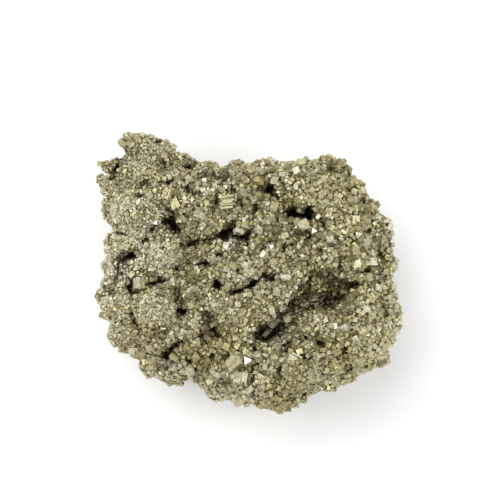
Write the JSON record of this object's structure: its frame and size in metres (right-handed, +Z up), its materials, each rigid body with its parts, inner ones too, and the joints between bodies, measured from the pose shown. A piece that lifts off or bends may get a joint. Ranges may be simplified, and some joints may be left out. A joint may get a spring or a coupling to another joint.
{
  "type": "pyrite specimen",
  "caption": "Rough pyrite cluster of small intergrown cubic crystals, with lumps, pits and one long open cavity in its upper face, lying on its flat broken underside.",
  "frame": {"origin": "centre of the bounding box's underside, on the surface that the stone rests on", "axes": "+Z up through the crystal-covered face, +X along the stone's length, +Y towards the side with the raised horn at its left end"},
  "size_m": [0.0658, 0.0588, 0.0324],
  "materials": {
    "pyrite": "metallic, pale brassy grey, sugary with small bright crystal faces, darker brown in the pits"
  },
  "bodies": {
    "root": {"pyrite_cluster": "pyrite"}
  },
  "joints": []
}
